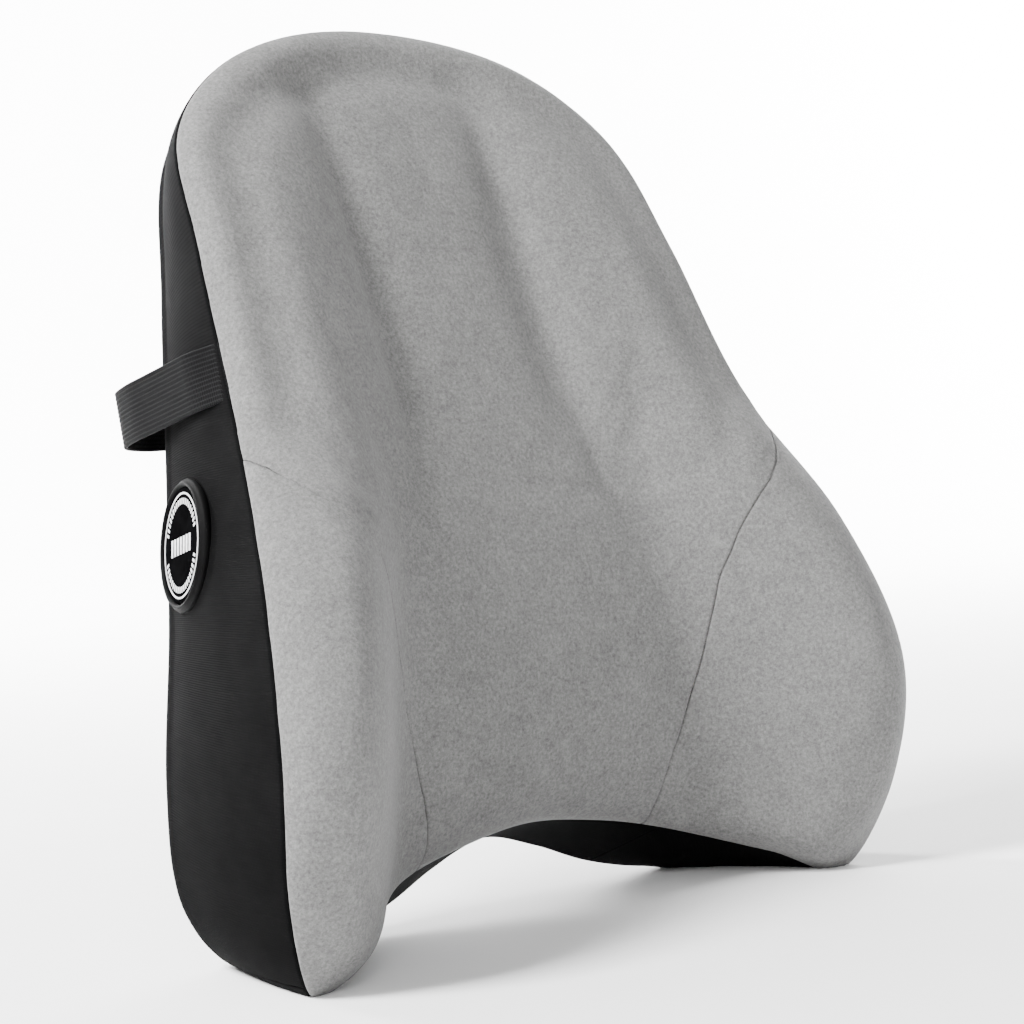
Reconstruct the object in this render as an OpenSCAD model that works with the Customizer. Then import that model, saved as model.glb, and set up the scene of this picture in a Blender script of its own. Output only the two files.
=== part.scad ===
// Lumbar support cushion: a moulded foam core in a sewn cover, held to a
// chair's backrest by an elastic strap with a side-release buckle.
// It stands on its two lobes and leans back a little. Front is -Y.

/* [Cushion] */
// Width over the two wings
cushion_w = 364; // [340:1:390]
// Height to the top of the dome
cushion_h = 416; // [390:1:440]
// Thickness of the wings at their fullest, square to the back
wing_depth = 148; // [130:1:160]
// Angle by which the back leans away from upright
lean = 10; // [6:0.5:12]
// Thickness of the padded cover fabric
cover = 2.5; // [2:0.1:3.5]

/* [Zip] */
// Length of the zip along the back
zip_len = 230; // [180:1:250]
// Width of the slot in the back panel that the zip is sewn into
zip_slot = 24; // [22:1:30]
// Height of the zip above the floor, along the back
zip_h = 96; // [90:1:110]

/* [Strap] */
// Width of the elastic webbing
strap_w = 26; // [22:1:30]
// Thickness of the webbing
strap_t = 1.8; // [1.4:0.1:2.2]
// Height of the strap's centre, along the back
strap_h = 247; // [243:1:256]
// Clear depth between the back and the strap, for the chair
strap_gap = 44; // [38:1:50]

/* [Buckle] */
// Length of the buckle's socket
socket_len = 34; // [32:1:38]
// Thickness of the socket
socket_t = 10; // [9.5:0.1:11]

/* [Badge] */
// Diameter over the badge's rim
badge_d = 58; // [50:1:62]
// Thickness of the badge's disc
badge_t = 2; // [1.5:0.1:3]

/* [Hidden] */

grey = "#9a9a9a";
black = "#202021";
plastic = "#151515";

half_w = cushion_w / 2;
gap = 0.3; // between neighbouring pieces
seam_gap = 0.004; // half the gap at a shaped seam, as a share of the ray
core_in = cover + 0.8; // how far the foam lies inside the walls
core_front_in = cover + 3.5; // and inside the front
ray_z = 130; // height of the point that the rays to the outline start from
edge_r = 12; // depth of the rounded edge between the side and the back
plate_share = 0.93; // size of the flat back inside that edge
wall_bulge = 0.015; // how far the side walls swell
roll_power = 8; // how tightly the front rolls over to the seam

// Half of the front seam, from the dome down round the lobe to the arch:
// share of the half width, share of the height, share of the wing depth
seam_half = [
    [0, 0.998, 0.165], [0.42, 0.963, 0.24], [0.685, 0.873, 0.31], [0.755, 0.74, 0.43],
    [0.811, 0.567, 0.56], [0.925, 0.406, 0.757], [1, 0.243, 0.83], [0.984, 0.096, 0.716],
    [0.879, -0.004, 0.568], [0.695, 0.026, 0.46], [0.44, 0.066, 0.31], [0.231, 0.088, 0.29],
    [0, 0.1, 0.29]
];
// Half of the back edge, the same way round: half width and height only
back_half = [
    [0, 0.985], [0.357, 0.953], [0.592, 0.855], [0.67, 0.709], [0.74, 0.533],
    [0.816, 0.353], [0.9, 0.19], [0.912, 0.067], [0.775, -0.005], [0.53, 0.008],
    [0.341, 0.028], [0.176, 0.057], [0, 0.078]
];
// Depth of the middle of the front at heights up the cushion
centre_depths = [
    [0, 0.34], [0.072, 0.385], [0.118, 0.44], [0.2, 0.53], [0.3, 0.585],
    [0.42, 0.575], [0.565, 0.495], [0.705, 0.42], [0.85, 0.36], [0.945, 0.31], [1, 0.25]
];
// Depth of the raised rim at the same heights
rim_depths = [
    [0, 0.64], [0.094, 0.85], [0.248, 1], [0.415, 0.93],
    [0.574, 0.7], [0.74, 0.57], [0.88, 0.45], [0.97, 0.35], [1, 0.27]
];
// Half width of the front at the same heights
front_widths = [
    [0, 0.88], [0.096, 0.984], [0.243, 1], [0.406, 0.925], [0.567, 0.813],
    [0.74, 0.755], [0.87, 0.67], [0.962, 0.4], [1, 0.22]
];
// Where the rim starts to rise and where it is full, as shares of the half width
rise_starts = [[0.12, 0.42], [0.34, 0.4], [0.58, 0.25], [0.87, 0.2]];
rise_ends = [[0.12, 0.92], [0.34, 0.88], [0.58, 0.86], [0.87, 0.86]];
// Two soft grooves beside the spine: place, width and depth
groove_x = 48;
groove_w = 16;
groove_d = 6.5;

// The shaped seam of a wing: point along the outline, share of the ray
wing_seam = [
    [4.25, 1], [4.5, 0.73], [5, 0.593], [5.5, 0.535], [6, 0.498], [7, 0.462], [8, 0.475],
    [8.5, 0.516], [9, 0.584], [9.5, 0.694], [10, 0.87], [10.25, 1]
];

steps = 4; // columns between two outline points
tip_columns = [4.32, 4.4, 9.88, 10.12]; // more of them at the tips of the wings
front_rows = [0.15, 0.3, 0.45, 0.58, 0.7, 0.8, 0.87, 0.93, 0.97, 1];
wing_rows = [0, 0.15, 0.3, 0.45, 0.6, 0.75, 0.86, 0.93, 0.975, 1];
wall_rows = [0.006, 0.33, 0.67, 1, 1.4, 1.7, 2];
plate_rows = [0.8, 0.5, 0.25];

// ---- curves ----

function unit(v) = v / norm(v);

function catmull(a, b, c, d, t) =
    0.5 * (2 * b + (c - a) * t + (2 * a - 5 * b + 4 * c - d) * t * t
    + (3 * b - a - 3 * c + d) * t * t * t);

function flipped(p) = [for (k = [0 : len(p) - 1]) k == 0 ? -p[0] : p[k]];

function whole(half) =
    concat(half, [for (i = [len(half) - 2 : -1 : 1]) flipped(half[i])]);

function on_loop(loop, u) =
    let (n = len(loop), i = floor(u), t = u - i, k = i + n)
    catmull(loop[(k - 1) % n], loop[k % n], loop[(k + 1) % n], loop[(k + 2) % n], t);

function span_of(table, x, i = 0) =
    (i >= len(table) - 2 || x < table[i + 1][0]) ? i : span_of(table, x, i + 1);

function knot_slope(table, i) =
    let (a = table[max(i - 1, 0)], b = table[min(i + 1, len(table) - 1)])
    (b[1] - a[1]) / (b[0] - a[0]);

// A smooth curve through a table of [place, value]
function smooth_value(table, place) =
    let (x = min(max(place, table[0][0]), table[len(table) - 1][0]))
    let (i = span_of(table, x), a = table[i], b = table[i + 1])
    let (h = b[0] - a[0], t = (x - a[0]) / h)
    a[1] * (1 + 2 * t) * (1 - t) * (1 - t) + b[1] * t * t * (3 - 2 * t)
    + h * t * (1 - t) * (knot_slope(table, i) * (1 - t) - knot_slope(table, i + 1) * t);

function ease(a, b, x) =
    let (t = min(max((x - a) / (b - a), 0), 1)) t * t * (3 - 2 * t);

// ---- the cushion's outer surface ----

seam_loop = whole([for (p = seam_half) [p[0] * half_w, p[1] * cushion_h, p[2] * wing_depth]]);
back_loop = whole([for (p = back_half) [p[0] * half_w, p[1] * cushion_h]]);
columns = len(seam_loop) * steps;

// The whole is moved along Y so that it stands over the origin
fullest_depth = 0.98; // of the wings, as a share of wing_depth
fullest_h = 0.27; // and the height of that place
adjuster_out = 8.55; // how far the adjuster stands out beyond the strap's inner face
front_reach = fullest_depth * wing_depth - fullest_h * cushion_h * tan(lean);
back_reach = (strap_gap + adjuster_out) * cos(lean) + (strap_h + strap_w / 2 + 4) * sin(lean);
stand_y = (front_reach - back_reach) / 2;

// A point at depth d in front of the leaning back
function stand(x, z, d) = [x, z * tan(lean) - d + stand_y, z];

function groove_at(x, h) =
    groove_d * exp(-pow((abs(x) - groove_x) / groove_w, 2))
    * ease(0.43, 0.65, h) * (1 - ease(0.92, 1, h));

function front_depth(x, z) =
    let (h = z / cushion_h, across = abs(x) / (smooth_value(front_widths, h) * half_w))
    let (rise = ease(smooth_value(rise_starts, h), smooth_value(rise_ends, h), across))
    let (mid = smooth_value(centre_depths, h), rim = smooth_value(rim_depths, h))
    (mid + (rim - mid) * rise) * wing_depth - groove_at(x, h);

// The front: u runs round the outline, s from the ray's start (0) to the seam (1)
front_at = function (u, s)
    let (f = on_loop(seam_loop, u), x = f[0] * s)
    let (z = max(0, ray_z + (f[1] - ray_z) * s))
    stand(x, z, f[2] + (front_depth(x, z) - f[2]) * sqrt(max(0, 1 - pow(s, roll_power))));

// The wall: v runs from the front seam (0) to the back edge (1) and over it to the flat (2)
function wall_straight(u, v) =
    let (f = on_loop(seam_loop, u), b = on_loop(back_loop, u))
    let (x = (f[0] * (1 - v) + b[0] * v) * (1 + wall_bulge * sin(180 * v)))
    stand(x, max(0, f[1] * (1 - v) + b[1] * v), f[2] * (1 - v) + edge_r * v);

function wall_edge(u, turn) =
    let (b = on_loop(back_loop, u), share = 1 - (1 - plate_share) * (1 - cos(turn)))
    stand(b[0] * share, max(0, ray_z + (b[1] - ray_z) * share), edge_r * (1 - sin(turn)));

wall_at = function (u, v) v <= 1 ? wall_straight(u, v) : wall_edge(u, 90 * (v - 1));

plate_at = function (u, share)
    let (b = on_loop(back_loop, u))
    stand(b[0] * share * plate_share, ray_z + (b[1] - ray_z) * share * plate_share, 0);

back_out = [0, cos(lean), -sin(lean)];

function lean_normal(f, u, s, low, high) =
    let (m = min(max(s, low), high), du = 0.02, ds = 0.01)
    unit(cross(f(u + du, m) - f(u - du, m), f(u, m + ds) - f(u, m - ds)));

function wall_in(u, v, depth) =
    wall_at(u, v) - depth * lean_normal(wall_at, u, v, 0.03, 1.97);
function front_in(u, s, depth) =
    s > 0.99 ? front_at(u, s) - depth * lean_normal(wall_at, u, 0.03, 0.03, 1)
    : front_at(u, s) - depth * lean_normal(front_at, u, s, 0.08, 0.985);

// ---- solids from the surface ----

function grid_faces(rows, cols, from, flip) = [
    for (i = [0 : rows - 2]) for (j = [0 : cols - 2])
        let (a = from + i * cols + j, b = a + 1, c = a + cols, d = c + 1)
        each flip ? [[a, b, d], [a, d, c]] : [[a, d, b], [a, c, d]]
];

function edge_faces(line, shift, flip) = [
    for (k = [0 : len(line) - 2])
        let (a = line[k], b = line[k + 1])
        each flip ? [[a, b + shift, b], [a, a + shift, b + shift]]
            : [[a, b, b + shift], [a, b + shift, a + shift]]
];

// An open patch of cover: two grids of rows x cols points, joined round the edge
module patch(outer, inner, rows, cols) {
    n = rows * cols;
    first = [for (j = [0 : cols - 1]) j];
    last = [for (j = [0 : cols - 1]) (rows - 1) * cols + j];
    left = [for (i = [0 : rows - 1]) i * cols];
    right = [for (i = [0 : rows - 1]) i * cols + cols - 1];
    polyhedron(
        concat([for (r = outer) each r], [for (r = inner) each r]),
        concat(
            grid_faces(rows, cols, 0, false), grid_faces(rows, cols, n, true),
            edge_faces(first, n, false), edge_faces(last, n, true),
            edge_faces(left, n, true), edge_faces(right, n, false)
        ),
        convexity = 8
    );
}

// Closed rings from one pole to the other, as one solid
module ball(start, rings, finish) {
    n = len(rings[0]);
    m = len(rings);
    polyhedron(
        concat([start], [for (r = rings) each r], [finish]),
        concat(
            [for (j = [0 : n - 1]) [0, 1 + (j + 1) % n, 1 + j]],
            [for (i = [0 : m - 2]) for (j = [0 : n - 1])
                let (a = 1 + i * n + j, b = 1 + i * n + (j + 1) % n)
                each [[a, b + n, a + n], [a, b, b + n]]],
            [for (j = [0 : n - 1]) let (a = 1 + (m - 1) * n) [a + j, a + (j + 1) % n, m * n + 1]]
        ),
        convexity = 8
    );
}

// Band pieces run between two points of the outline
module band(from, to) {
    count = round((to - from) * steps);
    us = concat([from + 0.01], [for (j = [1 : count - 1]) from + j / steps], [to - 0.01]);
    patch(
        [for (v = wall_rows) [for (u = us) wall_in(u, v, 0)]],
        [for (v = wall_rows) [for (u = us) wall_in(u, v, cover)]],
        len(wall_rows), len(us)
    );
}

// ---- foam ----

module foam_core() {
    color("#e9e4cf")
        ball(
            stand(0, ray_z, 0) - core_in * back_out,
            concat(
                [for (k = [len(plate_rows) - 1 : -1 : 0])
                    [for (j = [0 : columns - 1]) plate_at(j / steps, plate_rows[k]) - core_in * back_out]],
                [for (k = [len(wall_rows) - 1 : -1 : 0])
                    [for (j = [0 : columns - 1]) wall_in(j / steps, wall_rows[k], core_in)]],
                [for (k = [len(front_rows) - 2 : -1 : 0])
                    [for (j = [0 : columns - 1]) front_in(j / steps, front_rows[k], core_front_in)]]
            ),
            stand(0, ray_z, front_depth(0, ray_z) - core_front_in)
        );
}

// ---- front cover ----

wing_first = wing_seam[0][0];
wing_last = wing_seam[len(wing_seam) - 1][0];
loop_len = len(seam_loop);

// Where the centre panel ends along a ray
function centre_share(u) =
    let (side = u > loop_len / 2 ? loop_len - u : u)
    (side <= wing_first || side >= wing_last) ? 1
    : smooth_value(wing_seam, side) - seam_gap;

function sorted(list) =
    len(list) < 2 ? list
    : let (p = list[0], rest = [for (k = [1 : len(list) - 1]) list[k]])
    concat(sorted([for (x = rest) if (x < p) x]), [p], sorted([for (x = rest) if (x >= p) x]));

module front_centre_panel() {
    cols = sorted(concat(
        [for (j = [0 : columns - 1]) j / steps],
        tip_columns,
        [for (u = tip_columns) loop_len - u]
    ));
    rims = [for (u = cols) centre_share(u)];
    n = len(cols);
    m = len(front_rows);
    outer = [for (f = front_rows) each [for (j = [0 : n - 1]) front_in(cols[j], f * rims[j], 0)]];
    inner = [for (f = front_rows) each [for (j = [0 : n - 1]) front_in(cols[j], f * rims[j], cover)]];
    top = stand(0, ray_z, front_depth(0, ray_z));
    under = stand(0, ray_z, front_depth(0, ray_z) - cover);
    k = 1 + m * n;
    color(grey)
        polyhedron(
            concat([top], outer, [under], inner),
            concat(
                [for (j = [0 : n - 1]) [0, 1 + j, 1 + (j + 1) % n]],
                [for (j = [0 : n - 1]) [k, k + 1 + (j + 1) % n, k + 1 + j]],
                [for (i = [0 : m - 2]) for (j = [0 : n - 1])
                    let (a = 1 + i * n + j, b = 1 + i * n + (j + 1) % n)
                    each [
                        [a, b + n, b], [a, a + n, b + n],
                        [k + a, k + b, k + b + n], [k + a, k + b + n, k + a + n]
                    ]],
                [for (j = [0 : n - 1])
                    let (a = 1 + (m - 1) * n + j, b = 1 + (m - 1) * n + (j + 1) % n)
                    each [[b, a, k + a], [b, k + a, k + b]]]
            ),
            convexity = 8
        );
}

module wing_panel() {
    first = floor(wing_first * steps) + 1;
    last = ceil(wing_last * steps) - 1;
    us = sorted(concat(
        [wing_first + 0.03, wing_last - 0.03],
        [for (j = [first : last]) j / steps],
        tip_columns
    ));
    low = [for (u = us) min(smooth_value(wing_seam, u) + seam_gap, 0.985)];
    function row(g, depth) =
        [for (k = [0 : len(us) - 1]) front_in(us[k], low[k] + (1 - low[k]) * g, depth)];
    color(grey)
        patch(
            [for (g = wing_rows) row(g, 0)],
            [for (g = wing_rows) row(g, cover)],
            len(wing_rows), len(us)
        );
}

module wing_panel_right() {
    wing_panel();
}

module wing_panel_left() {
    mirror([1, 0, 0]) wing_panel();
}

// ---- black bands round the edge ----

dome_u = 2;
lobe_u = 7.75;
notch_u = 10;

module side_band_right() {
    color(black) band(dome_u, lobe_u);
}

module side_band_left() {
    color(black) band(loop_len - lobe_u, loop_len - dome_u);
}

module top_band() {
    color(black) band(-dome_u, dome_u);
}

module base_band_right() {
    color(black) band(lobe_u, notch_u);
}

module base_band_left() {
    color(black) band(loop_len - notch_u, loop_len - lobe_u);
}

module arch_band() {
    color(black) band(notch_u, loop_len - notch_u);
}

// ---- flat back: everything below is drawn on a level plane and leaned ----

// x across, y out from the back, z up along it
module on_back(x = 0, up = 0) {
    translate([0, stand_y, 0]) rotate([-lean, 0, 0]) translate([x, 0, up]) children();
}

module block(size, at = [0, 0, 0]) {
    translate([at[0] - size[0] / 2, at[1], at[2] - size[2] / 2]) cube(size);
}

module back_panel() {
    share = plate_share * 0.996;
    outline = [
        for (j = [0 : columns - 1])
            let (b = on_loop(back_loop, j / steps))
            [b[0] * share, (ray_z + (b[1] - ray_z) * share) / cos(lean)]
    ];
    color(black)
        on_back()
            difference() {
                rotate([90, 0, 0]) linear_extrude(cover) polygon(outline);
                block([zip_len, 2 * cover, zip_slot], [0, -1.5 * cover, zip_h]);
            }
}

// ---- zip ----

tape_t = 0.6;
coil_w = 2.4;
coil_t = 1.4;
coil_part = 1.6; // the two coils stand this far apart at the slider's post
zip_y = -0.9; // inner face of the tape

module zip_tape(side) {
    width = zip_slot / 2 - gap - coil_part / 2;
    color(black)
        on_back(0, zip_h)
            block([zip_len - 2 * gap, tape_t, width], [0, zip_y, side * (coil_part / 2 + width / 2)]);
}

module zip_coil(side) {
    color(plastic)
        on_back(0, zip_h)
            block(
                [zip_len - 12, coil_t, coil_w],
                [0, zip_y + tape_t + 0.05, side * (coil_part + coil_w) / 2]
            );
}

module zip_tape_upper() {
    zip_tape(1);
}

module zip_tape_lower() {
    zip_tape(-1);
}

module zip_coil_upper() {
    zip_coil(1);
}

module zip_coil_lower() {
    zip_coil(-1);
}

module zip_end_stops() {
    color(plastic)
        on_back(0, zip_h)
            for (end = [-1, 1])
                block([3, 1.6, 7], [end * (zip_len / 2 - 3.5), zip_y + tape_t + 0.05, 0]);
}

slider_len = 10;
slider_w = 8;
slider_x = -zip_len / 2 + 12; // closed at the left end
slider_y = zip_y + tape_t + coil_t + 0.35; // inner face of the top plate
crown_y = slider_y + 3.4; // the bar that the pull hangs on
crown_r = 0.8;
pull_t = 1.4;

module zip_slider() {
    color(plastic)
        on_back(slider_x, zip_h) {
            block([slider_len, 1.2, slider_w], [0, slider_y, 0]);
            block([slider_len, 1, slider_w], [0, zip_y - 1.3, 0]);
            block([3, slider_y - zip_y + 2, coil_part - 0.5], [-3, zip_y - 0.8, 0]);
            for (side = [-1, 1])
                block([2, crown_y - slider_y + crown_r, 1], [0, slider_y, side * 3.2]);
            translate([0, crown_y, -3.2]) cylinder(h = 6.4, r = crown_r, $fn = 24);
        }
}

module zip_pull() {
    eye_r = crown_r + 0.1;
    color(plastic)
        on_back(slider_x, zip_h)
            translate([0, crown_y, 0])
                difference() {
                    union() {
                        translate([0, 0, -2]) cylinder(h = 4, r = 1.9, $fn = 32);
                        block([15, pull_t, 4], [8.5, -pull_t / 2, 0]);
                        block([11, pull_t, 7], [20, -pull_t / 2, 0]);
                    }
                    translate([0, 0, -3]) cylinder(h = 6, r = eye_r, $fn = 24);
                    block([5, 4, 3], [20.5, -2, 0]);
                }
}

// ---- strap ----

strap_y = strap_gap + strap_t; // outer face of the strap behind the back
web_y = strap_y - strap_t / 2; // middle of the webbing behind the back

// The strap's line in plan on the right, from the seam to the back corner
strap_side = [
    [146.6, -73], [145.6, -58], [143, -42], [140.4, -24],
    [138, -6], [135, 14], [128, 32.5], [112, 42.4], [100, web_y - 0.4]
];

// A run of webbing of even thickness along a line in plan
function turned(a, b) = let (d = unit(b - a)) [d[1], -d[0]];
function web_normal(line, i) =
    let (n = len(line) - 1, a = line[max(i - 1, 0)], b = line[min(i + 1, n)]) turned(a, b);
module webbing(line, t = strap_t, width = strap_w) {
    n = len(line) - 1;
    on_back(0, strap_h - width / 2)
        linear_extrude(width)
            polygon(concat(
                [for (i = [0 : n]) line[i] + web_normal(line, i) * t / 2],
                [for (i = [n : -1 : 0]) line[i] - web_normal(line, i) * t / 2]
            ));
}

// Points along a smooth line through the given ones
function smooth_line(pts, per) =
    let (n = len(pts) - 1)
    [for (i = [0 : n - 1]) for (j = [0 : per - 1])
        catmull(pts[max(i - 1, 0)], pts[i], pts[i + 1], pts[min(i + 2, n)], j / per), pts[n]];

bar_r = 1.6; // bars of the buckle and the adjuster
wrap_r = bar_r + 0.15 + strap_t / 2; // middle of the webbing where it goes round a bar
socket_x = -4; // the socket's mouth
socket_bar = socket_x - socket_len + bar_r;
plug_bar = socket_x + 23;
bar_y = web_y + wrap_r; // middle of the buckle's thickness
adjuster_x = -78;
centre_bar_y = web_y + strap_t / 2 + gap + strap_t + 0.15 + bar_r;

// Round a bar, from the near layer to the far one
function turn(x, y, side) =
    [for (a = [0 : 22.5 : 180]) [x + side * wrap_r * sin(a), y - wrap_r * cos(a)]];

// From the seam to the socket's bar, round it and back to the adjuster's centre bar
module strap_left() {
    side = [for (p = smooth_line(strap_side, 4)) [-p[0], p[1]]];
    far = centre_bar_y + wrap_r;
    near = centre_bar_y - wrap_r;
    color(black)
        webbing(concat(
            side,
            [[adjuster_x - 12, web_y], [adjuster_x + 12, web_y], [socket_bar - 6, web_y]],
            turn(socket_bar, bar_y, 1),
            [[socket_bar - 6, web_y + 2 * wrap_r], [adjuster_x + 14, far - 0.4], [adjuster_x + 8, far]],
            [for (a = [180 : -22.5 : 0]) [adjuster_x - wrap_r * sin(a), centre_bar_y - wrap_r * cos(a)]],
            [[adjuster_x + 6, near], [adjuster_x + 12, near]]
        ));
}

// From the seam to the plug's bar, round it and sewn back on itself
module strap_right() {
    side = smooth_line(strap_side, 4);
    sewn_y = web_y + strap_t + gap;
    ends = [
        [plug_bar + 7, web_y + 2 * wrap_r - 0.6], [plug_bar + 14, sewn_y + 0.8],
        [plug_bar + 20, sewn_y], [plug_bar + 34, sewn_y]
    ];
    line = concat(side, [[80, web_y], [plug_bar + 6, web_y]], turn(plug_bar, bar_y, -1), ends);
    color(black) mirror([1, 0, 0]) webbing([for (p = line) [-p[0], p[1]]]);
}

// ---- strap adjuster ----

module strap_bar(x, y) {
    translate([x, y, -strap_w / 2 - 2]) cylinder(h = strap_w + 4, r = bar_r, $fn = 32);
}

module strap_adjuster() {
    rail_t = 2.4;
    low_y = web_y - strap_t / 2 - gap - bar_r;
    color(plastic)
        on_back(adjuster_x, strap_h) {
            for (side = [-1, 1])
                block(
                    [22, centre_bar_y - low_y + 2 * bar_r + 0.6, rail_t],
                    [0, low_y - bar_r - 0.3, side * (strap_w / 2 + 0.5 + rail_t / 2)]
                );
            strap_bar(-8.5, low_y);
            strap_bar(8.5, low_y);
            strap_bar(0, centre_bar_y);
        }
}

// ---- buckle ----

socket_w = strap_w + 8;
socket_wall = 1.6;
socket_slot = 3.4;
mouth_deep = 24;
mouth_w = socket_w - 2 * socket_wall;
prong_t = 3.4;
prong_z = 11; // the prongs' pivots lie this far from the middle

module buckle_socket() {
    arm_end = socket_bar + bar_r + socket_slot;
    hollow_t = socket_t - 2 * socket_wall;
    color(plastic)
        on_back(0, strap_h) {
            difference() {
                block(
                    [socket_len, socket_t, socket_w],
                    [socket_x - socket_len / 2, bar_y - socket_t / 2, 0]
                );
                // the mouth that takes the plug
                block([2 * mouth_deep, hollow_t, mouth_w], [socket_x, bar_y - hollow_t / 2, 0]);
                // windows where the prongs are pressed
                block([12, hollow_t, socket_w + 2], [socket_x - 14, bar_y - hollow_t / 2, 0]);
                // room for the strap round the bar
                block([20, socket_t + 2, strap_w + 1], [arm_end - 10, bar_y - socket_t / 2 - 1, 0]);
            }
            strap_bar(socket_bar, bar_y);
        }
}

module buckle_plug() {
    body_end = plug_bar - bar_r - socket_slot;
    face = socket_x + gap;
    color(plastic)
        on_back(0, strap_h) {
            block([body_end - face, 6.4, socket_w - 2], [(body_end + face) / 2, bar_y - 3.2, 0]);
            for (side = [-1, 1])
                block(
                    [plug_bar + bar_r - body_end + 1, 5, 2.2],
                    [(plug_bar + bar_r + body_end - 1) / 2, bar_y - 2.5, side * (strap_w / 2 + 1.8)]
                );
            strap_bar(plug_bar, bar_y);
            block([22, 3, 4], [face - 10.5, bar_y - 1.5, 0]);
        }
}

// The prong springs in about its root, at the plug's face
module buckle_prong(side) {
    color(plastic)
        on_back(0, strap_h)
            translate([socket_x, bar_y + prong_t / 2, side * prong_z])
                rotate([90, 0, 0])
                    linear_extrude(prong_t)
                        polygon([
                            [-0.3, -1.2 * side], [-19, -1.2 * side], [-19, 0.4 * side],
                            [-16, 4 * side], [-9.5, 4 * side], [-9, 1.2 * side], [-0.3, 1.2 * side]
                        ]);
}

module buckle_prong_upper() {
    buckle_prong(1);
}

module buckle_prong_lower() {
    buckle_prong(-1);
}

// ---- badge, on the left side band ----

badge_at = 19.42; // place along the outline
badge_v = 0.75; // place across the wall
badge_out = -lean_normal(wall_at, badge_at, badge_v, 0, 2);

module on_badge() {
    p = wall_at(badge_at, badge_v);
    n = badge_out * -1;
    up = unit([0, sin(lean), cos(lean)] - n * (n * [0, sin(lean), cos(lean)]));
    side = cross(up, n);
    multmatrix([
        [side[0], up[0], n[0], p[0]],
        [side[1], up[1], n[1], p[1]],
        [side[2], up[2], n[2], p[2]]
    ]) translate([0, 0, 1.2]) children();
}

module ring(outer, inner, h) {
    difference() {
        cylinder(h = h, d = outer, $fn = 64);
        translate([0, 0, -1]) cylinder(h = h + 2, d = inner, $fn = 64);
    }
}

rim_w = 3.5;

module badge_disc() {
    color("#0a0a0a") on_badge() cylinder(h = badge_t, d = badge_d - 2 * rim_w - 0.2, $fn = 64);
}

module badge_rim() {
    color("#1b1b1b") on_badge() ring(badge_d, badge_d - 2 * rim_w, badge_t + 1);
}

module badge_ring() {
    color("silver") on_badge() translate([0, 0, badge_t + 0.02]) ring(badge_d - 12, badge_d - 13.2, 0.3);
}

foam_core();
front_centre_panel();
wing_panel_left();
wing_panel_right();
side_band_left();
side_band_right();
top_band();
arch_band();
base_band_left();
base_band_right();
back_panel();
zip_tape_upper();
zip_tape_lower();
zip_coil_upper();
zip_coil_lower();
zip_end_stops();
zip_slider();
zip_pull();
strap_left();
strap_right();
strap_adjuster();
buckle_socket();
buckle_plug();
buckle_prong_upper();
buckle_prong_lower();
badge_disc();
badge_rim();
badge_ring();
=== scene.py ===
import math

import bmesh
import bpy
import numpy as np
from mathutils import Matrix, Vector
from mathutils.geometry import delaunay_2d_cdt
from mathutils.kdtree import KDTree


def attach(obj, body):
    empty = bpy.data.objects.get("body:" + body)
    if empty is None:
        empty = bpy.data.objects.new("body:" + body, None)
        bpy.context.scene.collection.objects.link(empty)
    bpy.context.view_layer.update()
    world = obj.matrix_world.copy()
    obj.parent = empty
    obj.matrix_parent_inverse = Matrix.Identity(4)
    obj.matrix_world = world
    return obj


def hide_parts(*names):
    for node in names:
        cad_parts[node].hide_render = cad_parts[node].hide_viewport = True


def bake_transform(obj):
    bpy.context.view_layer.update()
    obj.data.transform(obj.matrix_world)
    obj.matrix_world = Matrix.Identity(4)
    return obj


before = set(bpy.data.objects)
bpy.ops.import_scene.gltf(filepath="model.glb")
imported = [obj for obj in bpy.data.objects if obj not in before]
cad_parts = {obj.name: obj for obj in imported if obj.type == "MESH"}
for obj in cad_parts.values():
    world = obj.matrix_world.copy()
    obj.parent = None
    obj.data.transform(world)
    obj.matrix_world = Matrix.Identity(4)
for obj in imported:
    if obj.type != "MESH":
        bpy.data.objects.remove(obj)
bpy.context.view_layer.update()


# ---------------------------------------------------------------- foam core
# The moulded block of slow memory foam that gives the cushion its shape. It is
# cast in one piece, cream coloured with fine open cells, and the cover hides it.

def noise(tree, vector, scale, detail=3.0, rough=0.55, distortion=0.0):
    n = tree.nodes.new("ShaderNodeTexNoise")
    n.inputs["Scale"].default_value = scale
    n.inputs["Detail"].default_value = detail
    n.inputs["Roughness"].default_value = rough
    n.inputs["Distortion"].default_value = distortion
    tree.links.new(vector, n.inputs["Vector"])
    return n.outputs["Fac"]


def ramp(tree, factor, stops):
    n = tree.nodes.new("ShaderNodeValToRGB")
    while len(n.color_ramp.elements) < len(stops):
        n.color_ramp.elements.new(0.5)
    for e, (at, colour) in zip(n.color_ramp.elements, stops):
        e.position = at
        e.color = (*colour, 1)
    tree.links.new(factor, n.inputs["Fac"])
    return n.outputs["Color"]


def bump(tree, height, strength, distance):
    n = tree.nodes.new("ShaderNodeBump")
    n.inputs["Strength"].default_value = strength
    n.inputs["Distance"].default_value = distance
    tree.links.new(height, n.inputs["Height"])
    return n.outputs["Normal"]


def material(name, **settings):
    m = bpy.data.materials.new(name)
    m.use_nodes = True
    shader = m.node_tree.nodes["Principled BSDF"]
    for label, value in settings.items():
        shader.inputs[label.replace("_", " ")].default_value = value
    return m, m.node_tree, shader


def place_of(tree, uv=False):
    return tree.nodes.new("ShaderNodeTexCoord").outputs["UV" if uv else "Object"]


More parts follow.
